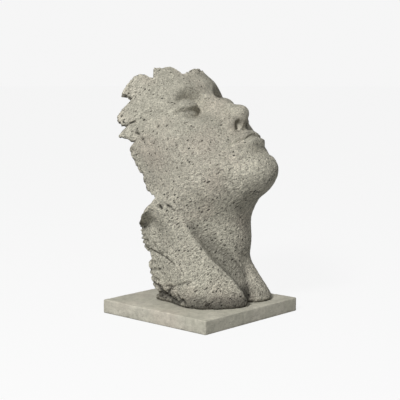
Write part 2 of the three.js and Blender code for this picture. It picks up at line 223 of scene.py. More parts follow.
def join(a, b, blend):
    share = np.clip(0.5 + 0.5 * (b - a) / blend, 0, 1)
    return b + (a - b) * share - blend * share * (1 - share)


def carve(a, tool, blend):
    return -join(-a, tool, blend)


head_forward = np.array([
    math.sin(HEAD_TURN) * math.cos(HEAD_TILT),
    -math.cos(HEAD_TURN) * math.cos(HEAD_TILT),
    math.sin(HEAD_TILT),
])
head_side = np.array([math.cos(HEAD_TURN), math.sin(HEAD_TURN), 0.0])
head_up = np.cross(head_side, head_forward)
head_up *= np.sign(head_up[2])


def from_head(x, y, z):
    return NOSE_ROOT + HEAD_SCALE * (x * head_side - y * head_forward + z * head_up)


def to_head(p):
    arm = [(p[i] - NOSE_ROOT[i]) / HEAD_SCALE for i in range(3)]
    axes = head_side, head_forward, head_up
    x, y, z = (sum(arm[i] * axis[i] for i in range(3)) for axis in axes)
    return np.abs(x), -y, z


# The parts of the head are placed by their distance to the side, back and up from the root of
# the nose, at life size. Both sides are alike.
EYE_SIDE = 31.5
EYE_HALF_WIDTH = 18
MOUTH_HALF_WIDTH = 26
MOUTH_LEVEL = -70.2


def skull(q):
    d = ellipsoid(q, (0, 85, 32), (75, 91, 84))
    d = join(d, ellipsoid(q, (0, 55, -32), (65, 58, 83)), 16)
    d = join(d, cone(q, (0, 20, -96), (43, 64, -68), 16, 14), 20)
    return join(d, ellipsoid(q, (31, 38, -58), (24, 27, 32)), 20)


def nose(q):
    d = cone(q, (0, 10, 6), (0, -12, -38.5), 8, 8.4)
    d = join(d, cone(q, (0, 18, -4), (0, 4, -42), 10, 14.5), 9)
    d = join(d, ellipsoid(q, (0, -15, -43), (9.8, 10, 9)), 5)
    d = join(d, ellipsoid(q, (12, -2, -46), (6.6, 10, 7.2)), 2.6)
    return join(d, cone(q, (0, -15, -48), (0, -4, -53), 4.8, 5.4), 3)


def closed_eye(q):
    x, _, z = q
    open_share = np.clip(1 - ((x - EYE_SIDE) / EYE_HALF_WIDTH) ** 2, 0, 1)
    seam = -8 - 5.5 * open_share
    crease = -5 + 9 * open_share
    lid = ellipsoid(q, (EYE_SIDE, 20.5, -8.5), (19, 17, 14.5))
    lid = lid + 1.2 - 3.0 * ease(-0.8, 0.8, z - seam) + 3.2 * bell(z - seam + 0.4, 1.5)
    return lid + 1.7 * bell(z - crease, 2.1)


def lips(q):
    x, y, z = q
    arch = np.clip(1 - (x / MOUTH_HALF_WIDTH) ** 2, 0, 1)
    line = MOUTH_LEVEL + 1.1 * bell(x, 5) - 1.1 * bell(x - 13, 6)
    line += 1.2 * bell(x - MOUTH_HALF_WIDTH, 5)
    top = line + 0.3 + 9.6 * arch ** 0.8 - 1.5 * bell(x, 3) + 0.6 * bell(x - 6, 3)
    bottom = line - 0.3 - 11.5 * arch ** 0.7
    up = (z - line) / (top - line)
    down = (line - z) / (line - bottom)
    upper = 4.8 * arch ** 0.6 * (0.6 + 0.4 * ease(0, 0.45, up)) * ease(1.2, 0.65, up)
    lower = 5.6 * arch ** 0.6 * (0.6 + 0.4 * ease(0, 0.5, down)) * ease(1.3, 0.35, down)
    parting = 3.4 * bell(z - line, 1.25) * ease(30, 25, x)
    return (np.where(z > line, upper, lower) - parting) * ease(24, 10, y)


def head(q):
    x, y, z = q
    d = skull(q)
    d = join(d, ellipsoid(q, (40, 36, -27), (24, 19, 16)), 24)
    d = join(d, ellipsoid(q, (0, 18, -69), (31, 25, 27)), 16)
    d = join(d, ellipsoid(q, (0, 13, -99), (25, 18.5, 14)), 22)
    d = join(d, ellipsoid(q, (0, 7, 13), (16, 12, 9)), 14)
    d = join(d, cord_of_clay(q, [((8, 8, 11), 6), ((24, 8.5, 16), 6), ((45, 25, 11), 6)]), 14)
    d = carve(d, ellipsoid(q, (30.5, -3, -8.5), (22, 20, 17)), 6)
    d = join(d, nose(q), 5)
    d = carve(d, ellipsoid(q, (6.8, -9.5, -52), (3.2, 5.6, 4.6)), 1.2)
    d = join(d, closed_eye(q), 2.5)
    groove_under_nose = 1.2 * bell(x, 2.6) * ease(-64, -60, z) * ease(-52, -55, z) * ease(4, 0, y)
    dip_over_chin = 3.0 * bell(z + 87.5, 5) * bell(x, 18) * ease(15, 5, y)
    return d - lips(q) + groove_under_nose + dip_over_chin


NECK_RIDGE = [
    ((-42, 32, 186), 13), ((-54, 15, 157), 21), ((-43, -1, 133), 24), ((-27, -19, 104), 27),
    ((-12, -37, 76), 28), ((1, -51, 55), 27), ((4, -62, 37), 23), ((-2, -67, 16), 21),
]
NECK_DIP = [
    ((-56, -29.5, 153), 8), ((-44, -38.5, 131), 10), ((-22.5, -55, 98), 11.5),
    ((-2.5, -69, 75), 12.5), ((12.5, -81, 55), 15.5), ((19.5, -83, 36), 11), ((20, -84, 14), 9),
]
FOOT_SLOT = [((19, -84, 40), 7), ((20, -84, 12), 8)]


def neck_mass(p):
    d = cone(p, (22, 4, 0), (18, 5, 110), 57, 64)
    d = join(d, cone(p, (18, 5, 110), (12, 22, 190), 64, 60), 12)
    d = join(d, cone(p, (16, 24, 0), (13, 22, 150), 64, 60), 10)
    d = join(d, ellipsoid(p, (-12, 20, 76), (43, 58, 128)), 14)
    d = join(d, cone(p, (-12, -32, 0), (-24, 8, 130), 52, 36), 14)
    return join(d, cone(p, (38, -24, 60), (49, -48, 12), 34, 38), 8)


def outer_form(p):
    neck = join(neck_mass(p), cord_of_clay(p, NECK_RIDGE), 12)
    neck = carve(neck, cord_of_clay(p, NECK_DIP), 9)
    neck = carve(neck, cord_of_clay(p, FOOT_SLOT), 3)
    return join(head(to_head(p)) * HEAD_SCALE, neck, NECK_BLEND)


def inner_form(p):
    return join(skull(to_head(p)) * HEAD_SCALE, neck_mass(p), NECK_BLEND)


# The spine that the rays start from: share of the height, point, tilt in degrees.
SPINE = [
    (0, (14, 8, FOOT_LEVEL), 0), (0.1, (14, 8, 60), 0), (0.2, (13, 9, 100), 4),
    (0.3, (13, 10, 132), 15), (0.4, (12.5, 11, 158), 30), (0.5, from_head(0, 75, -60), 44),
    (0.62, from_head(0, 76, -32), 46.6), (0.74, from_head(0, 74, -4), 46.6),
    (0.86, from_head(0, 70, 16), 54), (1, from_head(0, 66, 30), 70),
    (1.15, from_head(0, 66, 38), 88),
]
spine_point = [curve_through([(t, point[axis]) for t, point, _ in SPINE]) for axis in range(3)]
spine_tilt = curve_through([(t, math.radians(tilt)) for t, _, tilt in SPINE])


def rays(angle, t):
    start = np.array([curve(t) for curve in spine_point])
    tilt = spine_tilt(t)
    turn = HEAD_TURN * ease(0.2, 0.5, t)
    forward = np.cos(angle)
    side = np.sin(angle)
    return start, np.array([
        forward * np.sin(turn) * np.cos(tilt) + side * np.cos(turn),
        -forward * np.cos(turn) * np.cos(tilt) + side * np.sin(turn),
        forward * np.sin(tilt),
    ])


MOST_STEPS = 90
LEAST_STEP = 0.7
STEP_CAUTION = 0.92
HALVINGS = 9


def reach(start, direction, form, first):
    r = first.copy()
    low = np.zeros_like(r)
    going = np.arange(r.size)
    for _ in range(MOST_STEPS):
        depth = form(start[:, going] + direction[:, going] * r[going])
        inside = depth < 0
        going = going[inside]
        if not going.size:
            break
        low[going] = r[going]
        r[going] += np.maximum(-STEP_CAUTION * depth[inside], LEAST_STEP)
    high = r
    for _ in range(HALVINGS):
        middle = (low + high) / 2
        inside = form(start + direction * middle) < 0
        low = np.where(inside, middle, low)
        high = np.where(inside, high, middle)
    return (low + high) / 2


# The torn edge on the near side: share of the height, turn from the front, height there.
NEAR_EDGE = [
    (0, 118, 0), (0.012, 117, 0.012), (0.024, 111.5, 0.026), (0.036, 112.5, 0.038),
    (0.055, 116, 0.056), (0.075, 119.5, 0.075), (0.11, 124, 0.112), (0.135, 124.5, 0.136),
    (0.153, 122, 0.152), (0.17, 122.5, 0.168), (0.187, 125, 0.184), (0.21, 130.5, 0.204),
    (0.24, 133, 0.236), (0.29, 133.5, 0.284), (0.37, 134, 0.37), (0.42, 130, 0.425),
    (0.455, 127, 0.456), (0.48, 122, 0.484), (0.495, 117.5, 0.5), (0.507, 113.5, 0.507),
    (0.517, 107.5, 0.512), (0.53, 100.5, 0.517), (0.548, 103, 0.53), (0.575, 107.5, 0.564),
    (0.6, 108.5, 0.592), (0.618, 104.5, 0.616), (0.637, 99, 0.636), (0.667, 96.5, 0.668),
    (0.688, 94.5, 0.688), (0.708, 91, 0.708), (0.74, 85, 0.742), (0.758, 78.5, 0.745),
    (0.8, 86.5, 0.83), (0.832, 75, 0.826), (0.885, 82, 0.915), (0.905, 80, 0.935),
    (0.94, 60.5, 0.92), (1, 65, 1.035),
]
near_angle = curve_through([(share, angle) for share, angle, _ in NEAR_EDGE])
near_height = curve_through([(share, t) for share, _, t in NEAR_EDGE])

# The torn edge over the forehead: turn from the front, height.
top_height = curve_through([
    (-66, 1.035), (-61.5, 1.043), (-57, 1.043), (-49, 1.032), (-43, 1.006), (-40.7, 0.975),
    (-39.5, 0.942), (-37, 0.932), (-33.5, 0.957), (-30, 0.967), (-27, 0.958), (-22, 0.94),
    (-17, 0.922), (-14.8, 0.895), (-13.8, 0.876), (-10, 0.868), (-6, 0.87), (5, 0.89),
    (13, 0.892), (21, 0.902), (30, 0.896), (47, 0.955), (60, 1.01),
])
edge_angle = curve_through([
    (0, 130), (0.42, 130), (0.52, 115), (0.65, 101), (0.75, 86), (0.88, 78), (1, 64),
])


def ripple(x, phase):
    waves = ((1, 1, 1), (0.6, 2.3, 1.7), (0.45, 5.1, 2.9))
    return sum(size * np.sin(rate * x + shift * phase) for size, rate, shift in waves) / 1.6


def far_angle(share):
    return edge_angle(share) + 2 + (3.5 + 4 * ease(0.6, 0.72, share)) * ripple(share * 34, 2)


def torn_place(side, share):
    edge = edge_angle(share)
    to_side = ease(0.7, 1, np.abs(side))
    to_top = ease(0.84, 1, share)
    near_tear = (1.2 + 0.9 * ease(0.34, 0.25, share)) * ripple(share * 95, 2)
    near_turn = -(near_angle(share) - edge + near_tear)
    far_turn = far_angle(share) - edge
    far_climb = 0.008 * ripple(share * 60, 5) * ease(0, 0.06, share)
    angle = side * edge + to_side * np.where(side < 0, near_turn, far_turn)
    t = share + to_side * np.where(side < 0, near_height(share) - share, far_climb)
    top = top_height(np.clip(side * edge, -66, 60)) + 0.006 * ripple(side * 40, 1)
    t = t + to_top * (top - 1) * (1 - to_side)
    return np.radians(angle), t


near_wing = curve_through([
    (0, 1), (0.085, 5), (0.16, 3), (0.2, 9), (0.27, 14), (0.36, 16), (0.42, 21), (0.47, 27),
    (0.5, 24), (0.525, 8), (0.55, 0), (1.2, 0),
])


def flare(angle, t):
    degrees = np.degrees(angle)
    far_wing = 16 * np.exp(-(((t - 0.27) / 0.11) ** 4)) * ease(0.57, 0.5, t)
    neck = np.where(degrees < 0, near_wing(t), far_wing) * ease(92, 132, np.abs(degrees))
    return neck + 7 * ease(58, 84, np.abs(degrees)) * ease(0.66, 0.8, t)


# Columns lie closer over the face, and rows closer towards the top.
def sheet_grid(columns, rows):
    side = np.linspace(-1, 1, columns + 1)
    side = 0.58 * side + 0.42 * side ** 3
    row = np.linspace(0, 1, rows + 1)
    share = row * (1.3 - 0.3 * row)
    return np.meshgrid(side, share)


def outer_skin(side, share, first):
    angle, t = torn_place(side.ravel(), share.ravel())
    start, direction = rays(angle, t)
    distance = reach(start, direction, outer_form, first.ravel())
    return start, direction, distance, angle, t


# A first pass over every third row and column tells the full one where to begin.
STEP_BACK = 5
NEAREST = 15
coarse_side, coarse_share = sheet_grid(OUTER_COLUMNS // THIN_OUT, OUTER_ROWS // THIN_OUT)
coarse = outer_skin(coarse_side, coarse_share, np.full(coarse_side.shape, FIRST_REACH))[2]
coarse = coarse.reshape(coarse_side.shape)
rows, columns = coarse.shape
padded = np.pad(coarse, 1, mode="edge")
lowest = np.minimum.reduce([
    padded[i:i + rows, j:j + columns] for i in range(3) for j in range(3)
])
pick_row = np.clip((np.arange(OUTER_ROWS + 1) + 1) // THIN_OUT, 0, rows - 1)
pick_column = np.clip((np.arange(OUTER_COLUMNS + 1) + 1) // THIN_OUT, 0, columns - 1)
side, share = sheet_grid(OUTER_COLUMNS, OUTER_ROWS)
first = np.maximum(lowest[np.ix_(pick_row, pick_column)] - STEP_BACK, NEAREST)
start, direction, distance, angle, t = outer_skin(side, share, first)
skin = start + direction * distance

# Even out the spacing of the points on the face, sliding them over the form.
EVENING_PASSES = 14
EVENING_PULL = 0.8
LANDING = 0.9
PROBE = 0.3
shape = side.shape
free = (ease(0.82, 0.62, np.abs(side)) * ease(0.1, 0.3, share) * ease(0.9, 0.8, share)).ravel()
sliding = np.flatnonzero(free > 0)
for _ in range(EVENING_PASSES):
    grid = skin.reshape(3, *shape)
    around = np.zeros_like(grid)
    around[:, 1:-1, 1:-1] = (
        grid[:, :-2, 1:-1] + grid[:, 2:, 1:-1] + grid[:, 1:-1, :-2] + grid[:, 1:-1, 2:]
    ) / 4
    pull = (around - grid).reshape(3, -1)[:, sliding] * free[sliding] * EVENING_PULL
    here = skin[:, sliding]
    depth = outer_form(here)
    normal = np.array([
        outer_form(here + PROBE * np.eye(3)[:, i:i + 1]) - depth for i in range(3)
    ]) / PROBE
    steep = (normal ** 2).sum(0) + 1e-6
    pull -= normal * (pull * normal).sum(0) / steep
    here = here + pull
    skin[:, sliding] = here - normal * outer_form(here) / steep * LANDING

turned_out = flare(angle, t)
skin = skin + direction * turned_out


# Height and depth of the hand-worked surface, in millimetres along the way out of the stone.
def outward(grid, direction):
    along = np.gradient(grid, axis=2)
    up = np.gradient(grid, axis=1)
    normal = np.cross(along, up, axis=0)
    normal /= np.sqrt((normal ** 2).sum(0)) + 1e-9
    return normal * np.sign((normal * direction.reshape(grid.shape)).sum(0))


FADE = 0.9
FINER = 2.1


def clods(points, size, octaves, seed):
    shift = Vector((seed * 17.3, seed * 5.1, -seed * 9.7))
    return np.array([
        noise.fractal(
            Vector(p) / size + shift, FADE, FINER, octaves, noise_basis="PERLIN_ORIGINAL",
        )
        for p in points.T
    ])


SKIN_ALLOWANCE = 0.6
FOOT_TUCK = 2.6
HOLE_DEPTH = 1.6
HOLE_WIDTH = 1.4

# Cracks and tool marks: each is a path over the stone, its half width and its depth.
UNDERCUT = [(-52, 38, 33), (-54, 23, 31), (-57, 10, 29), (-61, -6, 26), (-63, -15, 24)]
CLEFTS = [
    ([(-54, 60, 97), (-56, 46, 93), (-58, 26, 89), (-60, 12, 86), (-62, -4, 80)], 1.8, 3.2),
    ([(-59, 37, 105), (-58, 26, 90)], 1.6, 2.4),
    ([(-58, 25, 90), (-61, 11, 94)], 1.6, 2.0),
    ([(-57, 15, 45), (-60, -1, 46), (-62, -18, 53), (-59, -35, 58)], 1.6, 2.4),
    ([(-60, 2, 47), (-56, 13, 36)], 2.2, 3.0),
    ([(-52, 60, 75), (-57, 37, 77)], 1.5, 2.0),
    ([(-52, 60, 62), (-57, 26, 68)], 1.8, 2.6),
    ([(-53, 50, 55), (-57, 31, 51)], 1.8, 2.6),
    ([(-55, 44, 46), (-56, 26, 41)], 1.8, 2.8),
    ([(-55, 30, 39), (-56, 16, 32)], 2.4, 3.6),
    (UNDERCUT, 2.4, 7.5),
    ([(-52, 36, 27), (-55, 18, 25.5), (-58, 4, 23.5)], 1.4, 3.0),
    ([(-58, 0, 36), (-61, -9, 28)], 1.6, 4.0),
    ([(-56, 14, 38), (-60, 4, 31)], 1.6, 4.0),
    ([(-61, -12, 35), (-63, -19, 29)], 1.6, 3.6),
    ([(-62, -22, 31), (-63, -27, 27)], 1.8, 3.6),
    ([(-50, -60, 24), (-48, -62, 20)], 4.0, 6.0),
    ([(-53, -56, 26), (-48, -61, 28.5), (-44, -65, 25)], 1.3, 1.3),
    ([(20, -76, 42), (20, -78, 30), (20, -82, 18)], 2.6, 3.0),
    ([(-76, 8, 162), (-75, 6, 159)], 2.0, 4.2),
    ([(-52, 70, 111), (-57, 56, 113)], 1.8, 2.6),
    ([(-52, 68, 105), (-58, 50, 107)], 2.0, 3.0),
    ([(-53, 64, 99), (-57, 48, 98)], 1.6, 2.2),
    ([(-53, 69, 117), (-57, 56, 119)], 1.6, 2.0),
    ([(-60, 61, 127), (-64, 48, 131)], 1.6, 2.0),
    ([(-82, 33, 149), (-81, 27, 150), (-78, 24, 147)], 1.4, 2.0),
    ([(-90, 53, 277), (-87, 50, 278), (-84, 47, 280)], 1.3, 2.8),
    ([(-86, 42, 264), (-85, 40, 262)], 1.8, 3.4),
    ([(-84, 35, 256), (-83, 33, 255)], 1.5, 2.8),
    ([(-74.5, 14, 273), (-73.5, 12, 274)], 1.8, 3.2),
    ([(-79, 27, 265), (-79, 26, 268)], 1.4, 2.2),
    ([(-72, 70, 331), (-75.5, 69, 325), (-78, 65, 318)], 1.2, 2.2),
    ([(-75, -2, 166), (-71, -7, 161), (-67, -12, 157)], 1.5, 2.8),
]
CHEEK_HOLES = [
    (-72, 5, 277), (-66, -5, 280), (-66, -16, 275), (-46, -52, 251), (-55, -49, 244),
    (-38, -56, 253), (-52, -63, 215),
]


def from_path(p, path):
    return cord_of_clay(p, [(point, 0) for point in path])


normal = outward(skin.reshape(3, *shape), direction).reshape(3, -1)
on_neck = ease(0.5, 0.36, t)
on_jaw = ease(0.62, 0.5, t)
flat_side = side.ravel()
flat_share = share.ravel()
torn = np.maximum(ease(0.84, 1, np.abs(flat_side)), ease(0.93, 1, flat_share))
near_edge = ease(0.5, 0.9, np.abs(flat_side))
coarseness = np.clip(0.03 + 0.2 * on_jaw + 0.6 * on_neck + 0.6 * torn + 0.2 * near_edge, 0, 1)
crumbling = (0.05 + 0.2 * coarseness) * clods(skin, size=7, octaves=2, seed=2)
crumbling += (0.1 + 0.5 * coarseness) * clods(skin, size=2.7, octaves=1, seed=3)
cleft = np.zeros(skin.shape[1])
wander = 1.5 * clods(skin, size=4, octaves=1, seed=6)
for path, half_width, depth in CLEFTS:
    away = from_path(skin, path) + wander
    cleft = np.maximum(cleft, depth * bell(np.maximum(away, 0), half_width))
for hole in CHEEK_HOLES:
    away = cone(skin, hole, (hole[0] + 1, hole[1] - 2, hole[2] + 2), 0, 0)
    cleft = np.maximum(cleft, HOLE_DEPTH * bell(away, HOLE_WIDTH))
above_plate = skin[2] - FOOT_LEVEL
uneven = (0.12 + 0.4 * coarseness) * clods(skin, size=26, octaves=2, seed=1)
lift = uneven + crumbling + 1.8 * torn * clods(skin, size=9, octaves=3, seed=4)
lift -= cleft + FOOT_TUCK * ease(3.5, 0, above_plate) + SKIN_ALLOWANCE
plain_grid = skin.reshape(3, *shape).copy()
skin = skin + normal * lift
# Raised crumbs are painted lighter and sunken ones darker: wear with painted highlight and shade.
wear_and_painted_light = np.clip(0.5 + 0.55 * crumbling / (0.16 + 0.7 * coarseness), 0, 1)

# Narrow places, where the form closes in round a point, get painted shade and some dirt.
CLEARANCE_AT = 5
clearance = outer_form(skin + CLEARANCE_AT * normal) - outer_form(skin)
narrow = np.clip((4.4 - clearance) / 2.6, 0, 1) * (np.abs(turned_out) < 2)
# The dip beside the neck's ridge gets painted shade.
in_dip = bell(np.maximum(cord_of_clay(skin, NECK_DIP) - 1, 0), 5)
in_dip *= ease(6, -3, cord_of_clay(skin, NECK_RIDGE))
from_undercut = from_path(skin, UNDERCUT)
# Darker towards the plate, most on the near foot: dirt and painted shade.
on_near_foot = ease(32, 18, skin[0])
foot_shade_and_dirt = (0.4 + 0.4 * on_near_foot) * ease(34, 4, above_plate)
foot_shade_and_dirt *= 1 - 0.8 * bell(from_undercut, 14)
# Cracks are painted darker by their depth: painted shade with some dirt.
shade_and_dirt = (cleft / 3) ** 1.5 + 0.4 * narrow * ease(0.7, 0.6, t) + 0.45 * in_dip
# A thin painted contact shadow runs along the plate, and painted shade fills the undercut.
shade_and_dirt += foot_shade_and_dirt + 0.4 * ease(4, 0.5, above_plate) + 0.3 * bell(from_undercut, 8)
shade_and_dirt = np.clip(shade_and_dirt, 0, 1)


def inner_skin(side, share):
    angle, t = torn_place(side, share)
    start, direction = rays(angle, t)
    first = np.full(side.shape, FIRST_REACH)
    to_edge = ease(45, 85, np.degrees(np.abs(angle)))
    behind_face = WALL_AT_EDGE + (WALL_AT_FACE - WALL_AT_EDGE) * ease(0.4, 0.5, t)
    wall = behind_face + (WALL_AT_EDGE - behind_face) * to_edge
    deepest = reach(start, direction, outer_form, first) - LEAST_WALL
    distance = reach(start, direction, lambda p: inner_form(p) + wall.mean(), first)
    distance = np.minimum(distance, deepest) - (wall - wall.mean())
    return start + direction * (distance + flare(angle, t))


bm = bmesh.new()
column_of = bm.verts.layers.int.new("column")
row_of = bm.verts.layers.int.new("row")
coarse_of = bm.verts.layers.float.new("coarseness")
wear_light_of = bm.verts.layers.float.new("wear_and_painted_light")
shade_and_dirt_of = bm.verts.layers.float.new("painted_shade_and_dirt")
bmesh.ops.create_grid(bm, x_segments=OUTER_COLUMNS, y_segments=OUTER_ROWS, size=1.0)
for vert in bm.verts:
    column = round((vert.co.x + 1) / 2 * OUTER_COLUMNS)
    row = round((vert.co.y + 1) / 2 * OUTER_ROWS)
    i = row * (OUTER_COLUMNS + 1) + column
    vert[column_of] = column
    vert[row_of] = row
    vert[coarse_of] = coarseness[i]
    vert[wear_light_of] = wear_and_painted_light[i]
    vert[shade_and_dirt_of] = shade_and_dirt[i]
    vert.co = skin[:, i] * MM

# The broken edge: rings of stone carried from the outer skin round to the inner one.
RINGS = 8
RIM_SWELL = 3.2
RIM_CRUMBLE = 2.1
COLUMNS_IN = 4
skin_grid = skin.reshape(3, *shape)
sheetwards = np.zeros_like(skin_grid)
sheetwards[:, :, 0] = skin_grid[:, :, 0] - skin_grid[:, :, COLUMNS_IN]
sheetwards[:, :, -1] = skin_grid[:, :, -1] - skin_grid[:, :, -1 - COLUMNS_IN]
sheetwards[:, -1, :] += skin_grid[:, -1, :] - skin_grid[:, -1 - COLUMNS_IN, :]
sheetwards[:, 0, :] = 0
sheetwards /= np.sqrt((sheetwards ** 2).sum(0)) + 1e-6
inner_grid = np.zeros_like(skin_grid)
rim = np.zeros(shape, bool)
rim[0, :] = rim[-1, :] = rim[:, 0] = rim[:, -1] = True
inner_grid[:, rim] = inner_skin(side[rim], share[rim])

edges = [edge for edge in bm.edges if edge.is_boundary]
for ring in range(1, RINGS + 1):
    across = ring / (RINGS + 1)
    fade = (1 - across) ** 4
    new = bmesh.ops.extrude_edge_only(bm, edges=edges)["geom"]
    for vert in (item for item in new if isinstance(item, bmesh.types.BMVert)):
        column = vert[column_of]
        row = vert[row_of]
        inner_point = inner_grid[:, row, column]
        outer_point = plain_grid[:, row, column] * (1 - fade) + skin_grid[:, row, column] * fade
        point = outer_point * (1 - across) + inner_point * across
        is_torn = 1 if row > 0 else 0
        swell = RIM_SWELL * math.sin(math.pi * across) * is_torn
        crumble = noise.fractal(Vector(point) / 5, 0.7, 2.2, 3) * is_torn
        point = point + sheetwards[:, row, column] * (swell + RIM_CRUMBLE * crumble * (1 - fade))
        point[2] = max(point[2], FOOT_LEVEL)
        vert.co = point * MM
        vert[coarse_of] = 1.0
        # Crumbs that stand out on the broken edge are painted lighter: wear with painted
        # highlight.
        vert[wear_light_of] = min(max(0.42 + 0.9 * crumble, 0), 1)
        # The broken edge gets a little painted shade.
        vert[shade_and_dirt_of] = 0.3
    edges = [item for item in new if isinstance(item, bmesh.types.BMEdge) and item.is_boundary]

# The hollow side is plainer and has every third row and column.
inner_columns = OUTER_COLUMNS // THIN_OUT
inner_rows = OUTER_ROWS // THIN_OUT
inner_side, inner_share = sheet_grid(inner_columns, inner_rows)
inside = inner_skin(inner_side.ravel(), inner_share.ravel())
inner_lift = 1.2 * clods(inside, size=18, octaves=3, seed=5)
spine = rays(*torn_place(inner_side.ravel(), inner_share.ravel()))[0]
inside = inside + (inside - spine) / 60 * inner_lift
new = bmesh.ops.create_grid(bm, x_segments=inner_columns, y_segments=inner_rows, size=1.0)["verts"]
for vert in new:
    column = round((vert.co.x + 1) / 2 * inner_columns)
    row = round((vert.co.y + 1) / 2 * inner_rows)
    point = inside[:, row * (inner_columns + 1) + column]
    vert.co = (point[0] * MM, point[1] * MM, max(point[2], FOOT_LEVEL) * MM)
    vert[coarse_of] = 0.8
    vert[wear_light_of] = 0.45
    vert[shade_and_dirt_of] = 0.05
inner_edges = list({edge for vert in new for edge in vert.link_edges if edge.is_boundary})
bmesh.ops.bridge_loops(bm, edges=edges + inner_edges)
bmesh.ops.recalc_face_normals(bm, faces=bm.faces)
for vert in bm.verts:
    for axis in range(3):
        vert.co[axis] = min(max(vert.co[axis], cad_box[0][axis]), cad_box[1][axis])
casting_mesh = bpy.data.meshes.new("casting")
bm.to_mesh(casting_mesh)
bm.free()
for polygon in casting_mesh.polygons:
    polygon.use_smooth = True
casting = bpy.data.objects.new("casting", casting_mesh)
scene.collection.objects.link(casting)
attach(casting, "root")
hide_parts("face_sculpture")


TOOL_WAY = (0.54, -0.59, 0.6)
STONE_GREY = (0.455, 0.434, 0.357, 1)
STONE_PALE = (0.49, 0.462, 0.382, 1)
STONE_WARM = (0.5, 0.44, 0.365, 1)
PIT_CHOICE_BLUR = 0.04
RELIEF_DEPTH = 0.001


class Finish:
    """A stone's colour and relief, wired on the piece's own coordinates."""

    def __init__(self, name):
        self.material = bpy.data.materials.new(name)
        self.material.use_nodes = True
        self.tree = self.material.node_tree
        self.shader = self.tree.nodes["Principled BSDF"]
        self.place = self.tree.nodes.new("ShaderNodeTexCoord").outputs["Object"]

    def wire(self, socket, value):
        if isinstance(value, bpy.types.NodeSocket):
            self.tree.links.new(value, socket)
        else:
            socket.default_value = value

    def along(self, way, stretch, shift=(0, 0, 0)):
        node = self.tree.nodes.new("ShaderNodeMapping")
        node.vector_type = "TEXTURE"
        self.wire(node.inputs["Vector"], self.place)
        node.inputs["Scale"].default_value = (1, 1, stretch)
        node.inputs["Rotation"].default_value = Vector(way).to_track_quat("Z", "Y").to_euler()
        node.inputs["Location"].default_value = shift
        return node.outputs["Vector"]

    def crooked(self, place, scale, amount):
        bend = self.tree.nodes.new("ShaderNodeTexNoise")
        self.wire(bend.inputs["Vector"], place)
        bend.inputs["Scale"].default_value = scale
        node = self.tree.nodes.new("ShaderNodeVectorMath")
        node.operation = "MULTIPLY_ADD"
        self.wire(node.inputs[0], bend.outputs["Color"])
        node.inputs[1].default_value = (amount, amount, amount)
        self.wire(node.inputs[2], place)
        return node.outputs["Vector"]

    def cloud(self, scale, detail=2.0, place=None):
        node = self.tree.nodes.new("ShaderNodeTexNoise")
        self.wire(node.inputs["Vector"], place or self.place)
        node.inputs["Scale"].default_value = scale
        node.inputs["Detail"].default_value = detail
        return node.outputs["Fac"]

    def span(self, value, low, high, to_low=0.0, to_high=1.0):
        node = self.tree.nodes.new("ShaderNodeMapRange")
        node.interpolation_type = "SMOOTHSTEP"
        self.wire(node.inputs["Value"], value)
        ends = {"From Min": low, "From Max": high, "To Min": to_low, "To Max": to_high}
        for name, number in ends.items():
            self.wire(node.inputs[name], number)
        return node.outputs["Result"]

    def work(self, operation, a, b):
        node = self.tree.nodes.new("ShaderNodeMath")
        node.operation = operation
        self.wire(node.inputs[0], a)
        self.wire(node.inputs[1], b)
        return node.outputs[0]

    def times(self, *values):
        result = values[0]
        for value in values[1:]:
            result = self.work("MULTIPLY", result, value)
        return result

    def total(self, *values):
        result = values[0]
        for value in values[1:]:
            result = self.work("ADD", result, value)
        return result

    def blend(self, share, a, b):
        node = self.tree.nodes.new("ShaderNodeMix")
        node.data_type = "RGBA"
        self.wire(node.inputs["Factor"], share)
        self.wire(node.inputs["A"], a)
        self.wire(node.inputs["B"], b)
        return node.outputs["Result"]

    def shaded(self, colour, shade):
        node = self.tree.nodes.new("ShaderNodeVectorMath")
        node.operation = "SCALE"
        self.wire(node.inputs[0], colour)
        self.wire(node.inputs["Scale"], shade)
        return node.outputs["Vector"]

    def pits(self, scale, chance, width, place):
        node = self.tree.nodes.new("ShaderNodeTexVoronoi")
        self.wire(node.inputs["Vector"], place)
        node.inputs["Scale"].default_value = scale
        chosen = self.span(node.outputs["Color"], 1 - chance, 1 - chance + PIT_CHOICE_BLUR)
        hollow = self.span(node.outputs["Distance"], width, width * 0.45)
        return self.times(chosen, hollow)

    def measure(self, name):
        node = self.tree.nodes.new("ShaderNodeAttribute")
        node.attribute_name = name
        return node.outputs["Fac"]

    def finish(self, colour, roughness, relief, gloss):
        self.wire(self.shader.inputs["Base Color"], colour)
        self.wire(self.shader.inputs["Roughness"], roughness)
        self.shader.inputs["Specular IOR Level"].default_value = gloss
        bump = self.tree.nodes.new("ShaderNodeBump")
        bump.inputs["Distance"].default_value = RELIEF_DEPTH
        self.wire(bump.inputs["Height"], relief)
        self.wire(self.shader.inputs["Normal"], bump.outputs["Normal"])


stone = Finish("cast_stone")
zone = stone.measure("coarseness")
stroke = stone.crooked(stone.along(TOOL_WAY, 1.9), 260, 0.003)
long_stroke = stone.crooked(stone.along(TOOL_WAY, 4, (0.02, 0.05, 0.01)), 200, 0.003)
loose = stone.crooked(stone.along((0.2, 0.1, 0.9), 1.2, (0.01, 0.02, 0.03)), 300, 0.0025)
looser = stone.crooked(stone.along((1, 1, 0), 1.1, (0.05, 0, 0)), 240, 0.004)
knobs = stone.total(stone.cloud(430, 2, stroke), -0.5)
crumbs = stone.total(stone.cloud(700, 1), -0.5)
grain = stone.total(stone.cloud(1500, 1), -0.5)
fine_pits = stone.pits(430, 0.4, 0.32, loose)
stroke_pits = stone.pits(240, 0.34, 0.32, stroke)
slits = stone.pits(200, 0.5, 0.22, long_stroke)
deep_pits = stone.pits(150, 0.14, 0.3, looser)
coarse_relief = stone.times(knobs, stone.span(zone, 0, 1, 0.9, 2.8))
fine_relief = stone.total(stone.times(crumbs, 2.3), stone.times(grain, 1.3))
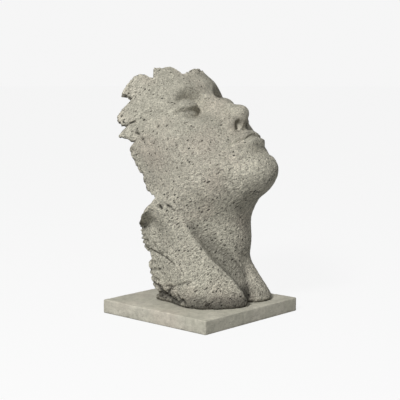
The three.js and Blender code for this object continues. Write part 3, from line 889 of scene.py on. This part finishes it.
hollows = stone.total(
    stone.times(fine_pits, 0.7),
    stone.times(stroke_pits, 0.9),
    stone.times(deep_pits, stone.span(zone, 0, 1, 0.5, 1.3)),
    stone.times(slits, stone.span(zone, 0.35, 0.95, 0, 1.6)),
)
relief = stone.total(coarse_relief, fine_relief, stone.times(hollows, -1))
patches = stone.span(stone.cloud(9, 2), 0.4, 0.62)
stains = stone.cloud(14, 2, stone.along((0, 0, 1), 1, (0.3, 0.1, 0.7)))
warmth = stone.span(stains, 0.5, 0.7, 0.0, 0.4)
colour = stone.blend(patches, STONE_GREY, STONE_PALE)
colour = stone.blend(warmth, colour, STONE_WARM)
# Painted shade and highlight: darker in low relief and pits, lighter on high relief.
shade = stone.times(
    stone.span(relief, -0.95, 0.75, 0.53, 1.43),
    stone.span(hollows, 0.0, 0.9, 1.0, 0.36),
    stone.span(stone.cloud(60, 3), 0.3, 0.7, 0.93, 1.07),
    stone.span(stone.measure("wear_and_painted_light"), 0.05, 0.95, 0.72, 1.2),
    stone.span(stone.measure("painted_shade_and_dirt"), 0.0, 1.0, 1.0, 0.2),
    # Coarser stone is painted lighter: painted light against the shade its deeper relief casts.
    stone.span(zone, 0.1, 0.7, 1.0, 1.16),
)
roughness = stone.span(grain, -0.2, 0.2, 0.84, 0.97)
stone.finish(stone.shaded(colour, shade), roughness, relief, gloss=0.25)
casting_mesh.materials.append(stone.material)


# The plate: a square slab of the same stone, cast in a smooth mould, with eased and slightly
# worn edges. The casting is bedded on its top, and its underside is flat.

PLATE_SIDE = 0.2
PLATE_THICKNESS = 0.02
EDGE_EASE = 0.0018
CUTS_ALONG = 55
CUTS_UP = 5
EDGE_BAND = 3
PLATE_GREY = (0.485, 0.468, 0.385, 1)
PLATE_PALE = (0.54, 0.515, 0.43, 1)
PLATE_WARM = (0.55, 0.49, 0.41, 1)

bm = bmesh.new()
slab_size = Matrix.Diagonal((PLATE_SIDE, PLATE_SIDE, PLATE_THICKNESS, 1))
bmesh.ops.create_cube(bm, size=1.0, matrix=slab_size)
bmesh.ops.translate(bm, verts=bm.verts, vec=(0, 0, PLATE_THICKNESS / 2))
bmesh.ops.bevel(
    bm, geom=bm.edges, offset=EDGE_EASE, affect="EDGES", segments=4, profile=0.5, material=-1,
)
long_edges = [edge for edge in bm.edges if edge.calc_length() > PLATE_SIDE / 2]
bmesh.ops.subdivide_edges(bm, edges=long_edges, cuts=CUTS_ALONG, use_grid_fill=True)
upright = [
    edge for edge in bm.edges
    if abs(edge.verts[0].co.z - edge.verts[1].co.z) > PLATE_THICKNESS / 2
]
bmesh.ops.subdivide_edges(bm, edges=upright, cuts=CUTS_UP, use_grid_fill=True)
bm.normal_update()
moved = []
for vert in bm.verts:
    point = vert.co * 1000
    walls = (point.x, 100), (point.y, 100), (point.z - 10, 10)
    walls_near = sum(abs(abs(place) - half) < EDGE_BAND for place, half in walls)
    wear = 0.25 + 0.22 * noise.fractal(point / 14, FADE, FINER, 3)
    if walls_near > 1:
        chips = noise.fractal(point / 9 + Vector((7, 3, 1)), FADE, FINER, 3)
        wear += max(0, chips - 0.15) * 2.2
    if vert.co.z > 0.0005:
        moved.append((vert, vert.co - vert.normal * MM * max(0.02, wear)))
for vert, place in moved:
    vert.co = place
plate_mesh = bpy.data.meshes.new("plate")
bm.to_mesh(plate_mesh)
bm.free()
for polygon in plate_mesh.polygons:
    polygon.use_smooth = True
plate = bpy.data.objects.new("plate", plate_mesh)
scene.collection.objects.link(plate)
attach(plate, "root")
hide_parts("base_plate")

slab = Finish("plate_stone")
loose = slab.crooked(slab.along((0.2, 0.4, 0.8), 1.2), 200, 0.003)
knobs = slab.total(slab.cloud(150, 3), -0.5)
grain = slab.total(slab.cloud(800, 2), -0.5)
fine_pits = slab.pits(300, 0.3, 0.3, loose)
relief = slab.total(slab.times(knobs, 1.0), slab.times(grain, 0.8), slab.times(fine_pits, -0.4))
patches = slab.span(slab.cloud(20, 2), 0.4, 0.62)
stains = slab.cloud(13, 2, slab.along((0, 0, 1), 1, (0.3, 0.4, 0.7)))
warmth = slab.span(stains, 0.5, 0.7, 0.0, 0.5)
colour = slab.blend(patches, PLATE_GREY, PLATE_PALE)
colour = slab.blend(warmth, colour, PLATE_WARM)
# Painted shade and highlight: darker in low relief and pits, lighter on high relief.
shade = slab.times(
    slab.span(relief, -0.6, 0.5, 0.74, 1.16),
    slab.span(slab.cloud(60, 3), 0.3, 0.7, 0.9, 1.07),
)
roughness = slab.span(grain, -0.2, 0.2, 0.8, 0.94)
slab.finish(slab.shaded(colour, shade), roughness, relief, gloss=0.3)
plate_mesh.materials.append(slab.material)
